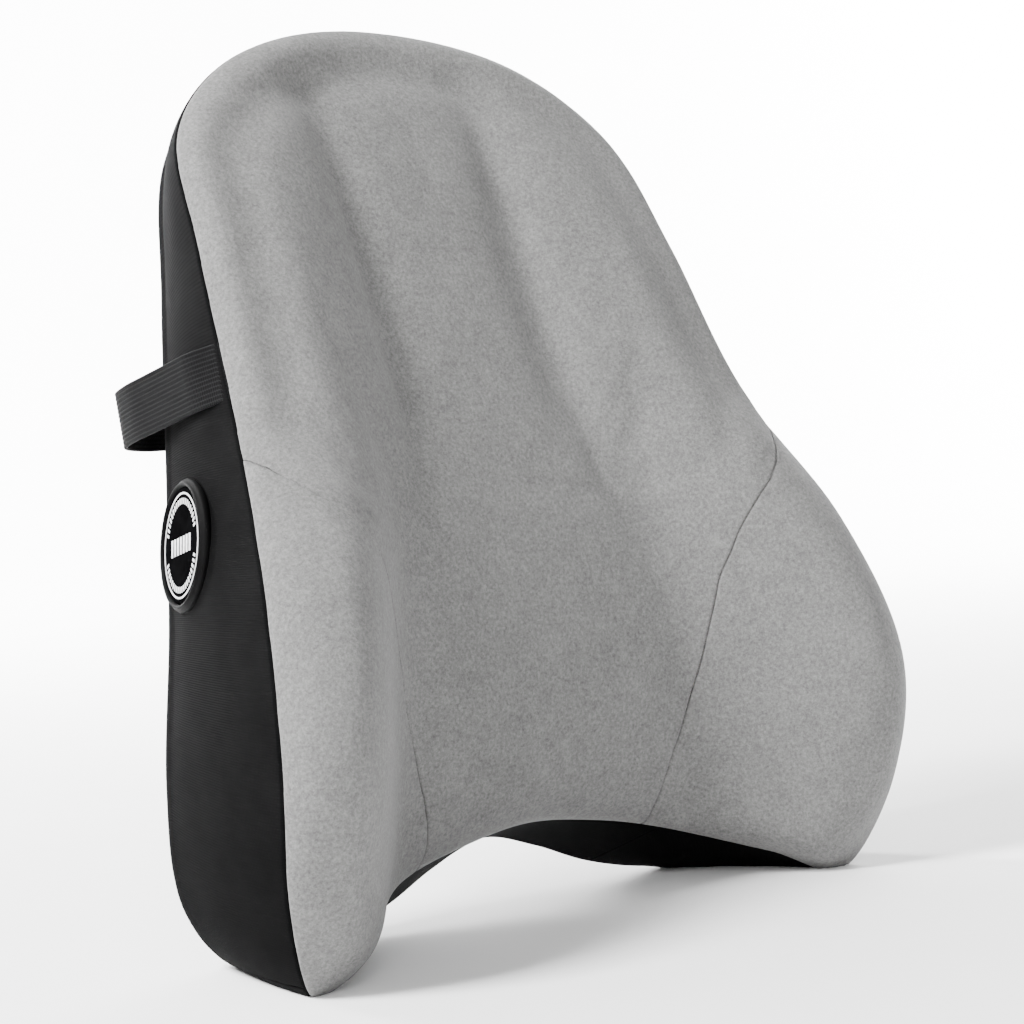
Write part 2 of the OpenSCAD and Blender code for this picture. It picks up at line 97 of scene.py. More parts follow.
def foam():
    m, t, shader = material("memory_foam", Roughness=0.9)
    cells = t.nodes.new("ShaderNodeTexVoronoi")
    cells.inputs["Scale"].default_value = 900
    t.links.new(place_of(t), cells.inputs["Vector"])
    tone = noise(t, place_of(t), 30)
    cream = ramp(t, tone, [(0.3, (0.78, 0.72, 0.56)), (0.7, (0.86, 0.81, 0.66))])
    t.links.new(cream, shader.inputs["Base Color"])
    t.links.new(bump(t, cells.outputs["Distance"], 0.5, 0.0006), shader.inputs["Normal"])
    return m


def paint(obj, *finishes):
    obj.data.materials.clear()
    for f in finishes:
        obj.data.materials.append(f)


paint(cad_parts["foam_core"], foam())


# ------------------------------------------------- the form the cover is cut to
# The cloth is cut to the foam: a domed top, a slim waist and two lobes at the
# foot that come forward round the hips. It leans 10 degrees, like a backrest.

# A place u runs round the outline (0 at the dome, 12 at the arch, 24 in all).
# A place r runs from the front's middle (0) over the front seam (1), across the
# side wall and its rounded edge (3) to the middle of the back (4).
HALF_W, HIGH, WING = 0.182, 0.416, 0.148
LEAN = math.radians(10)
STAND_Y = 0.01382
MIDDLE_Z = 0.13
EDGE_R = 0.012
BACK_SHARE = 0.93
GROOVE_DEEP, GROOVE_X, GROOVE_W = 0.0065, 0.048, 0.016
WALL_SWELL = 0.015

FRONT_SEAM = [
    [0, 0.998, 0.165], [0.42, 0.963, 0.24], [0.685, 0.873, 0.31], [0.755, 0.74, 0.43],
    [0.811, 0.567, 0.56], [0.925, 0.406, 0.757], [1, 0.243, 0.83], [0.984, 0.096, 0.716],
    [0.879, -0.004, 0.568], [0.695, 0.026, 0.46], [0.44, 0.066, 0.31], [0.231, 0.088, 0.29],
    [0, 0.1, 0.29],
]
BACK_EDGE = [
    [0, 0.985], [0.357, 0.953], [0.592, 0.855], [0.67, 0.709], [0.74, 0.533],
    [0.816, 0.353], [0.9, 0.19], [0.912, 0.067], [0.775, -0.005], [0.53, 0.008],
    [0.341, 0.028], [0.176, 0.057], [0, 0.078],
]
CENTRE_DEPTHS = [
    [0, 0.34], [0.072, 0.385], [0.118, 0.44], [0.2, 0.53], [0.3, 0.585],
    [0.42, 0.575], [0.565, 0.495], [0.705, 0.42], [0.85, 0.36], [0.945, 0.31], [1, 0.25],
]
RIM_DEPTHS = [
    [0, 0.64], [0.094, 0.85], [0.248, 1], [0.415, 0.93],
    [0.574, 0.7], [0.74, 0.57], [0.88, 0.45], [0.97, 0.35], [1, 0.27],
]
FRONT_WIDTHS = [
    [0, 0.88], [0.096, 0.984], [0.243, 1], [0.406, 0.925], [0.567, 0.813],
    [0.74, 0.755], [0.87, 0.67], [0.962, 0.4], [1, 0.22],
]
RISE_STARTS = [[0.12, 0.42], [0.34, 0.4], [0.58, 0.25], [0.87, 0.2]]
RISE_ENDS = [[0.12, 0.92], [0.34, 0.88], [0.58, 0.86], [0.87, 0.86]]
WING_SEAM = [
    [4.25, 1], [4.5, 0.73], [5, 0.593], [5.5, 0.535], [6, 0.498], [7, 0.462], [8, 0.475],
    [8.5, 0.516], [9, 0.584], [9.5, 0.694], [10, 0.87], [10.25, 1],
]


def both_halves(half, size):
    half = np.array(half, float) * size
    other = half[-2:0:-1].copy()
    other[:, 0] *= -1
    return np.vstack([half, other])


SEAM_LOOP = both_halves(FRONT_SEAM, (HALF_W, HIGH, WING))
BACK_LOOP = both_halves(BACK_EDGE, (HALF_W, HIGH))
ROUND = len(SEAM_LOOP)


def smooth_between(a, b, c, d, t):
    return 0.5 * (2 * b + (c - a) * t + (2 * a - 5 * b + 4 * c - d) * t**2 + (3 * b - a - 3 * c + d) * t**3)


def on_loop(loop, u):
    i = np.floor(u).astype(int)
    t = (u - i)[..., None]
    a, b, c, d = (loop[(i + k) % ROUND] for k in (-1, 0, 1, 2))
    return smooth_between(a, b, c, d, t)


def smooth_value(table, x):
    k, v = np.array(table, float).T
    n = len(k)
    after, before = np.minimum(np.arange(n) + 1, n - 1), np.maximum(np.arange(n) - 1, 0)
    slope = (v[after] - v[before]) / (k[after] - k[before])
    x = np.clip(x, k[0], k[-1])
    i = np.clip(np.searchsorted(k, x, "right") - 1, 0, n - 2)
    h = k[i + 1] - k[i]
    t = (x - k[i]) / h
    return (
        v[i] * (1 + 2 * t) * (1 - t) ** 2 + v[i + 1] * t * t * (3 - 2 * t)
        + h * t * (1 - t) * (slope[i] * (1 - t) - slope[i + 1] * t)
    )


def ease(a, b, x):
    t = np.clip((x - a) / (b - a), 0, 1)
    return t * t * (3 - 2 * t)


def front_depth(x, z):
    h = z / HIGH
    across = np.abs(x) / (smooth_value(FRONT_WIDTHS, h) * HALF_W)
    rise = ease(smooth_value(RISE_STARTS, h), smooth_value(RISE_ENDS, h), across)
    mid, rim = smooth_value(CENTRE_DEPTHS, h), smooth_value(RIM_DEPTHS, h)
    groove = GROOVE_DEEP * np.exp(-(((np.abs(x) - GROOVE_X) / GROOVE_W) ** 2))
    groove = groove * ease(0.43, 0.65, h) * (1 - ease(0.92, 1, h))
    return (mid + (rim - mid) * rise) * WING - groove


def form(u, r):
    u, r = np.broadcast_arrays(np.asarray(u, float), np.asarray(r, float))
    f, b = on_loop(SEAM_LOOP, u), on_loop(BACK_LOOP, u)
    s = np.clip(r, 0, 1)
    fx = f[..., 0] * s
    fz = np.maximum(0, MIDDLE_Z + (f[..., 1] - MIDDLE_Z) * s)
    fd = f[..., 2] + (front_depth(fx, fz) - f[..., 2]) * np.sqrt(np.maximum(0, 1 - s**8))
    v = np.clip(r - 1, 0, 1)
    wx = (f[..., 0] * (1 - v) + b[..., 0] * v) * (1 + WALL_SWELL * np.sin(np.pi * v))
    wz = f[..., 1] * (1 - v) + b[..., 1] * v
    wd = f[..., 2] * (1 - v) + EDGE_R * v
    turn = np.clip(r - 2, 0, 1) * np.pi / 2
    share = (1 - (1 - BACK_SHARE) * (1 - np.cos(turn))) * np.where(r > 3, np.clip(4 - r, 0, 1), 1)
    ex, ez = b[..., 0] * share, MIDDLE_Z + (b[..., 1] - MIDDLE_Z) * share
    ed = np.where(r > 3, 0, EDGE_R * (1 - np.sin(turn)))
    x = np.where(r <= 1, fx, np.where(r <= 2, wx, ex))
    z = np.maximum(0, np.where(r <= 1, fz, np.where(r <= 2, wz, ez)))
    d = np.where(r <= 1, fd, np.where(r <= 2, wd, ed))
    return np.stack([x, z * math.tan(LEAN) - d + STAND_Y, z], axis=-1)


def on_back(x, out, up):
    """A point x across, so far out from the back and so far up along it."""
    x, out, up = np.broadcast_arrays(*(np.asarray(a, float) for a in (x, out, up)))
    c, s = math.cos(LEAN), math.sin(LEAN)
    return np.stack([x, out * c + up * s + STAND_Y, up * c - out * s], axis=-1)


def wing_share(u):
    side = np.where(u > ROUND / 2, ROUND - u, u)
    inside = (side > WING_SEAM[0][0]) & (side < WING_SEAM[-1][0])
    return np.where(inside, smooth_value(WING_SEAM, side), 1.0)


# ------------------------------------------------------------- seams and puff
# The panels are sewn right sides together and turned, so each seam is a fine
# groove that both edges roll down into. Between seams the cloth is drawn over
# the foam and puffs a little: a cloth simulation of the cover, held at its seams.

DOME_U, LOBE_U, NOTCH_U = 2.0, 7.75, 10.0
FRONT_ROLL, BACK_ROLL, WING_ROLL, CROSS_ROLL = 0.0020, 0.0016, 0.0015, 0.0009
VOXEL, MOST_PUFF = 0.006, 0.004
CLOTH_THICK = 0.0016


def seam_lines():
    round_u = np.linspace(0, ROUND, 2400, endpoint=False)
    wing_u = np.linspace(WING_SEAM[0][0], WING_SEAM[-1][0], 900)
    cross_r = np.linspace(1, 3, 240)
    lines = [(form(round_u, 1.0), FRONT_ROLL), (form(round_u, 3.0), BACK_ROLL)]
    for us in (wing_u, ROUND - wing_u):
        lines.append((form(us, wing_share(us)), WING_ROLL))
    for u in (DOME_U, ROUND - DOME_U, LOBE_U, ROUND - LOBE_U, NOTCH_U, ROUND - NOTCH_U):
        lines.append((form(np.full(240, u), cross_r), CROSS_ROLL))
    return lines


def nearest(points):
    tree = KDTree(len(points))
    for k, p in enumerate(points):
        tree.insert(p, k)
    tree.balance()
    return tree


seams = []
for line, roll in seam_lines():
    seams.append((nearest(line), roll))


def groove_and_reach(points):
    """How deep the seams' grooves are at each point, and how far its nearest seam is."""
    deep, near = np.zeros(len(points)), np.full(len(points), 9.0)
    for tree, roll in seams:
        d = np.array([tree.find(p)[2] for p in points])
        k = np.clip(1 - d / roll, 0, 1)
        deep = np.maximum(deep, roll * (1 - np.sqrt(1 - k * k)))
        near = np.minimum(near, d)
    return deep, near


def new_object(name, verts, faces):
    mesh = bpy.data.meshes.new(name)
    mesh.from_pydata([tuple(v) for v in verts], [], [tuple(int(i) for i in f) for f in faces])
    mesh.validate()
    mesh.update()
    mesh.shade_smooth()
    o = bpy.data.objects.new(name, mesh)
    bpy.context.collection.objects.link(o)
    return o


def grid_faces(rows, cols, closed=False):
    i, j = np.meshgrid(np.arange(rows - 1), np.arange(cols if closed else cols - 1), indexing="ij")
    a, b = i * cols + j, i * cols + (j + 1) % cols
    return np.stack([a, b, b + cols, a + cols], axis=-1).reshape(-1, 4)


def simulate_puff():
    """Points of the cover and how far each one moves out, from the simulation."""
    us = np.arange(0, ROUND, 0.25)
    rs = np.concatenate([np.linspace(0.06, 0.96, 18), np.linspace(1, 3, 12), [3.3, 3.6, 3.9]])
    grid = form(us[None, :], rs[:, None])
    n, m = len(us), len(rs)
    verts = np.vstack([grid.reshape(-1, 3), form(0.0, 0.0)[None], form(0.0, 4.0)[None]])
    faces = [list(f) for f in grid_faces(m, n, closed=True)]
    for j in range(n):
        faces += [[m * n, (j + 1) % n, j], [m * n + 1, (m - 1) * n + j, (m - 1) * n + (j + 1) % n]]
    cover = new_object("sim_cover", verts, faces)
    bpy.context.view_layer.objects.active = cover
    remesh = cover.modifiers.new("remesh", "REMESH")
    remesh.mode, remesh.voxel_size = "VOXEL", VOXEL
    bpy.context.view_layer.update()
    solid = bpy.data.meshes.new_from_object(cover.evaluated_get(bpy.context.evaluated_depsgraph_get()))
    cover.modifiers.clear()
    cover.data = solid
    before = np.array([v.co for v in solid.vertices])
    _, near = groove_and_reach(before)
    pins = cover.vertex_groups.new(name="seams")
    for k, w in enumerate(1 - ease(0.004, 0.02, near)):
        if w > 0.01:
            pins.add([k], float(w), "ADD")
    cloth = cover.modifiers.new("cloth", "CLOTH")
    s = cloth.settings
    s.quality = 5
    s.mass = 0.3
    s.tension_stiffness = s.compression_stiffness = 25
    s.shear_stiffness = 10
    s.bending_stiffness = 1.5
    s.use_pressure = True
    s.uniform_pressure_force = 4
    s.effector_weights.gravity = 0
    s.vertex_group_mass = "seams"
    cloth.collision_settings.use_collision = False
    scene = bpy.context.scene
    for f in range(1, 21):
        scene.frame_set(f)
    settled = cover.evaluated_get(bpy.context.evaluated_depsgraph_get()).to_mesh()
    after = np.array([v.co for v in settled.vertices])
    scene.frame_set(1)
    move = after - before
    size = np.linalg.norm(move, axis=1, keepdims=True)
    move *= np.minimum(1, MOST_PUFF / np.maximum(size, 1e-9))
    bpy.data.objects.remove(cover)
    return before, move


puff_points, puff_moves = simulate_puff()
puff_tree = nearest(puff_points)


def puffed(points, normals, near):
    """The points moved out by the puff, and left where they are on a seam."""
    if puff_tree is None:
        return points + normals * (0.0016 * (1 - np.exp(-near / 0.015)))[:, None]
    out = np.empty_like(points)
    held = ease(0.0, 0.005, near)
    for k, p in enumerate(points):
        found = puff_tree.find_n(p, 8)
        w = np.array([1 / (f[2] + 0.002) ** 2 for f in found])
        out[k] = p + (w[:, None] * puff_moves[[f[1] for f in found]]).sum(0) / w.sum() * held[k]
    return out


# Rows lie close together beside a seam, where the cloth rolls in
BESIDE_SEAM = np.array([0, 0.0003, 0.0007, 0.0012, 0.0018, 0.0026, 0.004, 0.006])


def shoulder(near, h):
    """The upper front stands up in a soft roll inside its seam, with a shallow dip behind it."""
    dip = 0.0028 * np.exp(-(((near - 0.028) / 0.010) ** 2))
    roll = 0.0016 * np.exp(-(((near - 0.012) / 0.006) ** 2))
    return (dip - roll) * ease(0.42, 0.62, h)


def thicken(cloth):
    wall = cloth.modifiers.new("cloth thickness", "SOLIDIFY")
    wall.thickness, wall.offset = CLOTH_THICK, -1


def cover_panel(name, us, start, end, seam_at_start, seam_at_end, rows, closed=False):
    """Cloth between r = start and r = end at each u, rolled in at the seams."""
    fine = np.linspace(0, 1, 220)
    cols = []
    for u, a, b in zip(us, start, end):
        r = a + (b - a) * fine
        line = form(np.full(len(r), u), r)
        along = np.concatenate([[0], np.cumsum(np.linalg.norm(np.diff(line, axis=0), axis=1))])
        beside = BESIDE_SEAM * min(1, along[-1] / 0.016)
        low = beside if seam_at_start else beside[:1]
        high = (along[-1] - (beside if seam_at_end else beside[:1]))[::-1]
        between = np.linspace(low[-1], high[0], rows + 2)[1:-1]
        cols.append(np.interp(np.concatenate([low, between, high]), along, r))
    r = np.array(cols).T
    u = np.broadcast_to(np.array(us)[None, :], r.shape)
    p = form(u, r)
    m, n = r.shape
    step = 0.004
    du = form(u + step, r) - form(u - step, r)
    low, high = start[None, :], end[None, :]
    dr = form(u, np.minimum(r + step, high)) - form(u, np.maximum(r - step, low))
    normal = np.cross(du, dr)
    if start[0] == 0:
        p[0] = form(0.0, 0.0)
        normal[0] = normal[1].mean(axis=0)
    normal /= np.maximum(np.linalg.norm(normal, axis=-1, keepdims=True), 1e-12)
    flat_p, flat_n = p.reshape(-1, 3), normal.reshape(-1, 3)
    deep, near = groove_and_reach(flat_p)
    if start[0] == 0:
        deep = deep + shoulder(near, flat_p[:, 2] / HIGH)
    flat_p = puffed(flat_p, flat_n, near) - flat_n * deep[:, None]
    flat_p[:, 2] = np.maximum(flat_p[:, 2], 0.0)
    o = new_object(name, flat_p, grid_faces(m, n, closed))
    if start[0] == 0:
        b = bmesh.new()
        b.from_mesh(o.data)
        bmesh.ops.remove_doubles(b, verts=b.verts, dist=1e-6)
        b.to_mesh(o.data)
        b.free()
        o.data.shade_smooth()
    uv = o.data.uv_layers.new(name="cut")
    co = np.array([v.co for v in o.data.vertices])
    side = np.arctan2(co[:, 0], co[:, 2] - MIDDLE_Z)
    across = np.linalg.norm(co[:, [0, 2]] - [0, MIDDLE_Z], axis=1)
    for poly in o.data.polygons:
        mid = side[poly.vertices[0]]
        for li, vi in zip(poly.loop_indices, poly.vertices):
            a = side[vi]
            a += 2 * np.pi if a - mid < -np.pi else -2 * np.pi if a - mid > np.pi else 0
            uv.data[li].uv = (a * 0.19, co[vi, 1] if start[0] > 0.9 else across[vi])
    thicken(o)
    return o


# ------------------------------------------------------------ grey front cover
# Three panels of short-pile grey suede cloth: a large middle one and one over
# the lower part of each wing, joined by a shaped seam that runs from the waist
# down to the arch. The pile catches the light in soft, uneven patches.

def group(name, outputs, inputs):
    """A shader node group, with the plain lists of its outputs and inputs."""
    tree = bpy.data.node_groups.new(name, "ShaderNodeTree")
    for label, kind, value in inputs:
        socket = tree.interface.new_socket(label, in_out="INPUT", socket_type="NodeSocket" + kind)
        socket.default_value = value
    for label, kind in outputs:
        tree.interface.new_socket(label, in_out="OUTPUT", socket_type="NodeSocket" + kind)
    return tree, tree.nodes.new("NodeGroupInput").outputs, tree.nodes.new("NodeGroupOutput").inputs


def placed(tree, node_group, **values):
    """The group placed in a material, with values or links for its inputs."""
    n = tree.nodes.new("ShaderNodeGroup")
    n.node_tree = node_group
    for label, value in values.items():
        if isinstance(value, bpy.types.NodeSocket):
            tree.links.new(value, n.inputs[label])
        else:
            n.inputs[label].default_value = value
    return n.outputs


def maths(tree, op, a, b=0.0):
    n = tree.nodes.new("ShaderNodeMath")
    n.operation = op
    for k, x in enumerate((a, b)):
        if isinstance(x, (int, float)):
            n.inputs[k].default_value = x
        else:
            tree.links.new(x, n.inputs[k])
    return n.outputs[0]


def mixed(tree, *parts):
    """The sum of (value, share) pairs."""
    total = maths(tree, "MULTIPLY", *parts[0])
    for value, share in parts[1:]:
        total = maths(tree, "ADD", total, maths(tree, "MULTIPLY", value, share))
    return total


def suede():
    pile, given, result = group(
        "suede_pile", [("Tone", "Float"), ("Pile", "Float")], [("Vector", "Vector", (0, 0, 0))]
    )
    place = given["Vector"]
    grain = noise(pile, place, 1500, 2.0, 0.6)
    clumps = noise(pile, place, 620, 2.0, 0.6)
    patches = noise(pile, place, 90, 3.0, 0.6, 0.6)
    clouds = noise(pile, place, 12, 2.0, 0.5, 0.4)
    tone = mixed(pile, (clumps, 0.45), (grain, 0.3), (patches, 0.15), (clouds, 0.1))
    pile.links.new(tone, result["Tone"])
    pile.links.new(mixed(pile, (grain, 0.5), (clumps, 0.8)), result["Pile"])
    m, t, shader = material(
        "grey_suede", Sheen_Weight=0.12, Sheen_Roughness=0.45, Specular_IOR_Level=0.15, Roughness=0.95
    )
    nap = placed(t, pile, Vector=place_of(t))
    greys = [(0.32, (0.07, 0.0695, 0.0685)), (0.5, (0.13, 0.129, 0.127)), (0.68, (0.2, 0.198, 0.195))]
    t.links.new(ramp(t, nap["Tone"], greys), shader.inputs["Base Color"])
    t.links.new(bump(t, nap["Pile"], 0.35, 0.0006), shader.inputs["Normal"])
    return m


grey_suede = suede()
wing_ends = WING_SEAM[0][0], WING_SEAM[-1][0]
tips = np.array([0.008, 0.03, 0.07, 0.12, 0.18])
round_us = np.arange(0, ROUND, 1 / 12)
side_tips = np.concatenate([wing_ends[0] + tips, wing_ends[1] - tips])
centre_us = np.unique(np.round(np.concatenate([round_us, side_tips, ROUND - side_tips]), 5))

front_centre = cover_panel(
    "front_centre_cover", centre_us, np.zeros(len(centre_us)), wing_share(centre_us), False, True, 60, True
)
paint(front_centre, grey_suede)
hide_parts("front_centre_panel")
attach(front_centre, "cushion")

wing_us = np.unique(np.round(np.concatenate([side_tips, np.arange(4.5, 10.05, 1 / 14)]), 5))
for side in ("left", "right"):
    us = wing_us if side == "right" else ROUND - wing_us[::-1]
    wing = cover_panel(f"wing_cover_{side}", us, wing_share(us), np.ones(len(us)), True, True, 34)
    paint(wing, grey_suede)
    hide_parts(f"wing_panel_{side}")
    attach(wing, "cushion")


# ------------------------------------------------------- black bands and back
# The sides, the dome's edge, the foot and the back are a smooth black knit,
# cut as bands that wrap the foam's edge and meet the flat back panel.

def knit():
    stitches, given, result = group(
        "knit_loops", [("Tone", "Float"), ("Loops", "Float")],
        [("Vector", "Vector", (0, 0, 0)), ("Pitch", "Float", 0.0011)],
    )
    scaled = stitches.nodes.new("ShaderNodeVectorMath")
    scaled.operation = "DIVIDE"
    stitches.links.new(given["Vector"], scaled.inputs[0])
    stitches.links.new(given["Pitch"], scaled.inputs[1])
    parts = stitches.nodes.new("ShaderNodeSeparateXYZ")
    stitches.links.new(scaled.outputs[0], parts.inputs[0])
    across = maths(stitches, "SINE", maths(stitches, "MULTIPLY", parts.outputs["X"], math.pi))
    wale = maths(stitches, "ABSOLUTE", across)
    lean = mixed(stitches, (parts.outputs["Y"], 2 * math.pi), (wale, 1.6))
    course = maths(stitches, "MULTIPLY", maths(stitches, "SINE", lean), 0.5)
    course = maths(stitches, "ADD", course, 0.5)
    raised = maths(stitches, "ADD", maths(stitches, "MULTIPLY", course, 0.6), 0.4)
    loops = maths(stitches, "MULTIPLY", wale, raised)
    lint = noise(stitches, given["Vector"], 45, 4.0, 0.6)
    stitches.links.new(loops, result["Loops"])
    stitches.links.new(mixed(stitches, (lint, 0.75), (loops, 0.25)), result["Tone"])
    m, t, shader = material("black_knit", Specular_IOR_Level=0.02, Roughness=0.85)
    cloth = placed(t, stitches, Vector=place_of(t, uv=True))
    blacks = [(0.3, (0.0012, 0.0012, 0.0013)), (0.7, (0.003, 0.003, 0.0031))]
    t.links.new(ramp(t, cloth["Tone"], blacks), shader.inputs["Base Color"])
    t.links.new(bump(t, cloth["Loops"], 0.3, 0.0003), shader.inputs["Normal"])
    return m


black_knit = knit()
BANDS = {
    "side_band_right": (DOME_U, LOBE_U), "side_band_left": (ROUND - LOBE_U, ROUND - DOME_U),
    "top_band": (-DOME_U, DOME_U), "base_band_right": (LOBE_U, NOTCH_U),
    "base_band_left": (ROUND - NOTCH_U, ROUND - LOBE_U), "arch_band": (NOTCH_U, ROUND - NOTCH_U),
}
for node, (first, last) in BANDS.items():
    ends = BESIDE_SEAM / 0.07
    inner = np.arange(first + ends[-1] + 0.04, last - ends[-1] - 0.02, 1 / 14)
    us = np.concatenate([first + ends, inner, (last - ends)[::-1]])
    cloth = cover_panel(node + "_cover", us, np.ones(len(us)), np.full(len(us), 3.0), True, True, 34)
    paint(cloth, black_knit)
    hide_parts(node)
    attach(cloth, "cushion")

ZIP_LONG, ZIP_SLOT, ZIP_UP, SLOT_ROLL = 0.2286, 0.0226, 0.096, 0.0014


def inside(poly, pts):
    x, y = pts[:, 0][:, None], pts[:, 1][:, None]
    ax, ay = poly[:, 0][None], poly[:, 1][None]
    bx, by = np.roll(poly[:, 0], -1)[None], np.roll(poly[:, 1], -1)[None]
    hit = ((ay > y) != (by > y)) & (x < (bx - ax) * (y - ay) / np.where(by == ay, 1e-12, by - ay) + ax)
    return hit.sum(axis=1) % 2 == 1


def back_cloth():
    """The flat back: its outline and the zip's slot, each with rings of points beside it."""
    us = np.arange(0, ROUND, 1 / 28)
    rim = form(us, 3.0)
    rim = np.stack([rim[:, 0], rim[:, 2] / math.cos(LEAN)], axis=1)
    inward = np.roll(rim, -1, axis=0) - np.roll(rim, 1, axis=0)
    inward = np.stack([inward[:, 1], -inward[:, 0]], axis=1)
    inward /= np.linalg.norm(inward, axis=1, keepdims=True)
    if not inside(rim, rim[:1] + inward[:1] * 0.002)[0]:
        inward = -inward
    rings = [rim + inward * d for d in BESIDE_SEAM]
    w, h = ZIP_LONG / 2, ZIP_SLOT / 2
    slot = []
    for d in BESIDE_SEAM:
        a, b = w + d, h + d
        xs, ys = np.linspace(-a, a, 60), np.linspace(-b, b, 8)
        slot.append(np.vstack([
            np.stack([xs, np.full(60, ZIP_UP - b)], axis=1),
            np.stack([np.full(8, a), ZIP_UP + ys], axis=1)[1:-1],
            np.stack([xs[::-1], np.full(60, ZIP_UP + b)], axis=1),
            np.stack([np.full(8, -a), ZIP_UP + ys[::-1]], axis=1)[1:-1],
        ]))
    gx, gy = np.meshgrid(np.arange(-0.16, 0.161, 0.005), np.arange(0, 0.41, 0.005))
    field = np.stack([gx.ravel(), gy.ravel()], axis=1)
    keep = inside(rings[-1] + inward * 0.003, field)
    keep &= ~((np.abs(field[:, 0]) < w + 0.009) & (np.abs(field[:, 1] - ZIP_UP) < h + 0.009))
    points, edges, at = [field[keep]], [], int(keep.sum())
    for ring in rings + slot:
        n = len(ring)
        points.append(ring)
        edges += [(at + k, at + (k + 1) % n) for k in range(n)]
        at += n
    points = np.vstack(points)
    verts, _, tris, *_ = delaunay_2d_cdt([Vector(p) for p in points], edges, [], 0, 1e-6)
    verts = np.array([tuple(v) for v in verts])
    tris = np.array(tris)
    mid = verts[tris].mean(axis=1)
    keep = inside(rim, mid) & ~((np.abs(mid[:, 0]) < w) & (np.abs(mid[:, 1] - ZIP_UP) < h))
    tris = tris[keep]
    flat = on_back(verts[:, 0], 0, verts[:, 1])
    deep, near = groove_and_reach(flat)
    beside, over = np.abs(verts[:, 0]) - w, np.abs(verts[:, 1] - ZIP_UP) - h
    edge = np.hypot(np.maximum(beside, 0), np.maximum(over, 0))
    k = np.clip(1 - edge / SLOT_ROLL, 0, 1)
    deep = np.maximum(deep, SLOT_ROLL * (1 - np.sqrt(1 - k * k)))
    out = 0.0012 * (1 - np.exp(-np.minimum(near, edge) / 0.012)) - deep
    o = new_object("back_cover", on_back(verts[:, 0], out, verts[:, 1]), tris)
    b = bmesh.new()
    b.from_mesh(o.data)
    bmesh.ops.delete(b, geom=[v for v in b.verts if not v.link_faces], context="VERTS")
    for f in b.faces:
        if f.normal.y < 0:
            f.normal_flip()
    b.to_mesh(o.data)
    b.free()
    o.data.shade_smooth()
    uv = o.data.uv_layers.new(name="cut")
    for loop in o.data.loops:
        co = o.data.vertices[loop.vertex_index].co
        uv.data[loop.index].uv = (co.x, co.z)
    thicken(o)
    return o


back = back_cloth()
paint(back, black_knit)
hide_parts("back_panel")
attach(back, "cushion")


# ------------------------------------------------------------------------ zip
# A nylon coil zip sewn into the back so the cover comes off for washing: two
# woven tapes, two rows of small teeth, a slider with a hanging pull, end stops.

def woven_tape():
    m, t, shader = material("zip_tape_weave", Specular_IOR_Level=0.03, Roughness=0.85)
    wave = t.nodes.new("ShaderNodeTexWave")
    wave.inputs["Scale"].default_value = 420
    wave.inputs["Distortion"].default_value = 1.5
    t.links.new(place_of(t), wave.inputs["Vector"])
    blacks = [(0.2, (0.002, 0.002, 0.002)), (0.8, (0.007, 0.007, 0.0073))]
    t.links.new(ramp(t, wave.outputs["Fac"], blacks), shader.inputs["Base Color"])
    t.links.new(bump(t, wave.outputs["Fac"], 0.5, 0.0003), shader.inputs["Normal"])
    return m


def moulded_grain():
    """The slightly uneven skin of a moulded or polished piece, shared by several finishes."""
    grain, given, result = group(
        "moulded_grain", [("Color", "Color"), ("Roughness", "Float"), ("Height", "Float")],
        [("Vector", "Vector", (0, 0, 0)), ("Dark", "Color", (0, 0, 0, 1)), ("Light", "Color", (1, 1, 1, 1)),
         ("Rough", "Float", 0.3)],
    )
    fine, broad = noise(grain, given["Vector"], 1400, 2.0), noise(grain, given["Vector"], 60, 3.0)
    share = grain.nodes.new("ShaderNodeMapRange")
    share.inputs["From Min"].default_value = 0.3
    share.inputs["From Max"].default_value = 0.7
    tint = grain.nodes.new("ShaderNodeMix")
    tint.data_type = "RGBA"
    colours = [socket for socket in tint.inputs if socket.type == "RGBA"]
    tinted = [socket for socket in tint.outputs if socket.type == "RGBA"][0]
    rough = maths(grain, "ADD", maths(grain, "MULTIPLY", fine, 0.2), given["Rough"])
    for source, target in (
        (broad, share.inputs["Value"]), (share.outputs["Result"], tint.inputs["Factor"]),
        (given["Dark"], colours[0]), (given["Light"], colours[1]),
        (tinted, result["Color"]), (rough, result["Roughness"]), (fine, result["Height"]),
    ):
        grain.links.new(source, target)
    return grain


MOULDED_GRAIN = moulded_grain()


def moulded(name, dark, light, rough, shine=0.25):
    m, t, shader = material(name, Specular_IOR_Level=shine)
    skin = placed(t, MOULDED_GRAIN, Vector=place_of(t), Dark=(*dark, 1), Light=(*light, 1), Rough=rough)
    t.links.new(skin["Color"], shader.inputs["Base Color"])
    t.links.new(skin["Roughness"], shader.inputs["Roughness"])
    t.links.new(bump(t, skin["Height"], 0.15, 0.0002), shader.inputs["Normal"])
    return m


def softened(node, width, finish, body, segments=2):
    """The node's own shape with its moulded edges eased."""
    o = bpy.data.objects.new(node + "_moulded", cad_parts[node].data.copy())
    bpy.context.collection.objects.link(o)
    b = bmesh.new()
    b.from_mesh(o.data)
    bmesh.ops.remove_doubles(b, verts=b.verts, dist=1e-6)
    bmesh.ops.dissolve_limit(b, angle_limit=math.radians(1), verts=b.verts, edges=b.edges)
    b.to_mesh(o.data)
    b.free()
    ease_edges = o.modifiers.new("eased edges", "BEVEL")
    ease_edges.width, ease_edges.segments = width, segments
    ease_edges.limit_method, ease_edges.angle_limit = "ANGLE", math.radians(35)
    ease_edges.harden_normals = True
    o.data.shade_smooth()
    paint(o, finish)
    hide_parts(node)
    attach(o, body)
    return o


